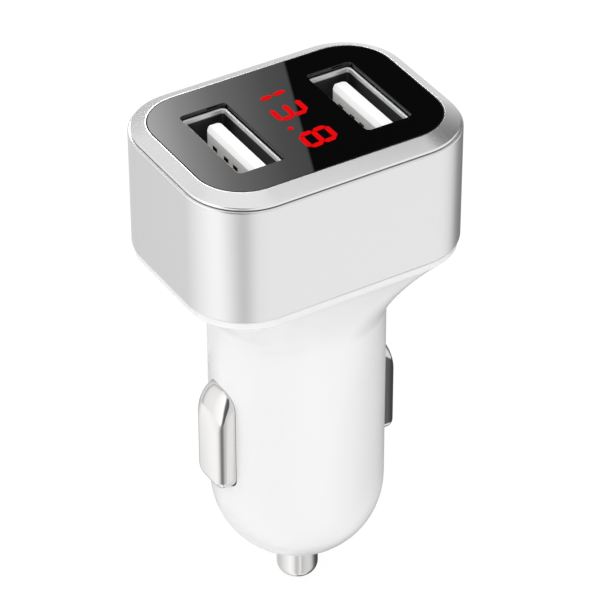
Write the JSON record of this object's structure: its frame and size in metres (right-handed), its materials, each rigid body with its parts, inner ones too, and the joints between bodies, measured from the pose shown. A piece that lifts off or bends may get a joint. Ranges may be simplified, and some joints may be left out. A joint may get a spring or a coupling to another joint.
{
  "type": "car usb charger plug",
  "caption": "Car socket plug with a flared neck and a metal-sleeved head that carries USB outlets side by side and a red voltage display.",
  "frame": {"origin": "on the barrel's axis, halfway down its straight part", "axes": "+Z out of the outlets' face, away from the tip pin; +X along the head's long side, from one outlet to the other; +Y along the outlets' long sides"},
  "size_m": [0.035, 0.026, 0.0666],
  "materials": {
    "black_panel": "gloss",
    "satin_metal": "satin",
    "anodised_sleeve": "satin",
    "black_moulding": "matte",
    "white_moulding": "gloss",
    "nickel": "polished",
    "spring_steel": "satin",
    "brass_sheet": "satin",
    "tinned_sheet": "satin",
    "white_insert": "satin",
    "gold_pins": "polished",
    "lit_segments": "gloss",
    "dark_segments": "matte",
    "board": "satin",
    "ferrite": "matte",
    "copper_wire": "satin",
    "can": "satin",
    "chip_body": "matte",
    "ceramic": "matte"
  },
  "bodies": {
    "housing": {"front_panel": "black_panel", "top_bezel": "satin_metal", "head_sleeve": "anodised_sleeve", "head_carrier": "black_moulding", "barrel_housing": "white_moulding", "tip_spring": "spring_steel", "spring_terminal": "brass_sheet", "usb_shell_left": "tinned_sheet", "usb_shell_right": "tinned_sheet", "usb_insert_left": "white_insert", "usb_insert_right": "white_insert", "usb_pins_left": "gold_pins", "usb_pins_right": "gold_pins", "display_case": "black_moulding", "display_segments_lit": "lit_segments", "display_segments_dark": "dark_segments", "head_board": "board", "main_board": "board", "inductor_core": "ferrite", "inductor_coil": "copper_wire", "input_capacitor": "can", "output_capacitor": "can", "converter_chip": "chip_body", "display_chip": "chip_body", "diode": "chip_body", "fuse": "ceramic", "chip_components": "ceramic"},
    "tip": {"tip_contact": "nickel"},
    "left_contact": {"side_contact_left": "nickel"},
    "right_contact": {"side_contact_right": "nickel"}
  },
  "joints": [
    {"name": "tip_press", "type": "slide", "parent": "housing", "child": "tip", "axis": [0, 0, 1], "range_m": [0, 0.003], "stiffness_N_per_m": 600, "springref_m": -0.003, "deforming": ["tip_spring"]},
    {"name": "left_contact_press", "type": "hinge", "parent": "housing", "child": "left_contact", "pos_m": [-0.00843, 0, 0.0197], "axis": [0, -1, 0], "range_deg": [0, 2.98], "stiffness_Nm_per_rad": 2, "springref_deg": -2.86},
    {"name": "right_contact_press", "type": "hinge", "parent": "housing", "child": "right_contact", "pos_m": [0.00843, 0, 0.0197], "axis": [0, 1, 0], "range_deg": [0, 2.98], "stiffness_Nm_per_rad": 2, "springref_deg": -2.86}
  ]
}
